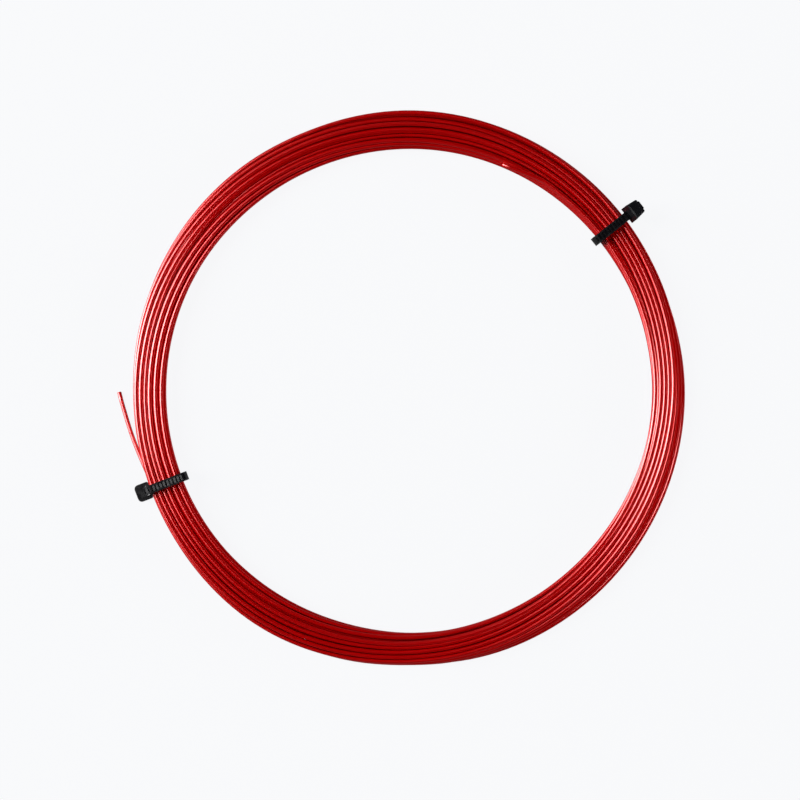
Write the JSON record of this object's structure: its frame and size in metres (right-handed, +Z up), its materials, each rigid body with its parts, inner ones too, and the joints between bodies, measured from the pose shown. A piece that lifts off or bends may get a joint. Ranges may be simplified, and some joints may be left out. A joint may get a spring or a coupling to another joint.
{
  "type": "racket string coil",
  "caption": "Round coil of thin racket string, held by nylon cable ties with toothed straps, locking heads and sprung pawls, with a free outer tail and a cut inner end.",
  "frame": {"origin": "centre of the ring, in the plane that the ties' straps lie on", "axes": "+Z up, out of the ring's plane; the outer tail's cut end is at -X and the upper tie between +X and +Y"},
  "size_m": [0.1692, 0.1649, 0.0105],
  "materials": {
    "string": "smooth glossy red monofilament",
    "tie_nylon": "moulded black nylon, satin"
  },
  "bodies": {
    "string": {"string_coil": "string", "string_outer_tail": "string", "string_inner_end": "string"},
    "upper_tie": {"upper_tie_strap": "tie_nylon", "upper_tie_head": "tie_nylon"},
    "upper_pawl": {"upper_tie_pawl": "tie_nylon"},
    "lower_tie": {"lower_tie_strap": "tie_nylon", "lower_tie_head": "tie_nylon"},
    "lower_pawl": {"lower_tie_pawl": "tie_nylon"}
  },
  "joints": [
    {"name": "upper_tie_slide", "type": "hinge", "parent": "string", "child": "upper_tie", "pos_m": [0, 0, 0], "axis": [0, 0, 1], "range_deg": [-4, 3]},
    {"name": "upper_pawl_flex", "type": "hinge", "parent": "upper_tie", "child": "upper_pawl", "pos_m": [0.06601, 0.05251, 0.00842], "axis": [0.6225, -0.7826, 0], "range_deg": [0, 14], "stiffness_Nm_per_rad": 0.0005},
    {"name": "lower_tie_slide", "type": "hinge", "parent": "string", "child": "lower_tie", "pos_m": [0, 0, 0], "axis": [0, 0, 1], "range_deg": [-3, 5]},
    {"name": "lower_pawl_flex", "type": "hinge", "parent": "lower_tie", "child": "lower_pawl", "pos_m": [-0.07911, -0.03053, 0.00307], "axis": [-0.36, 0.933, 0], "range_deg": [0, 14], "stiffness_Nm_per_rad": 0.0005}
  ]
}
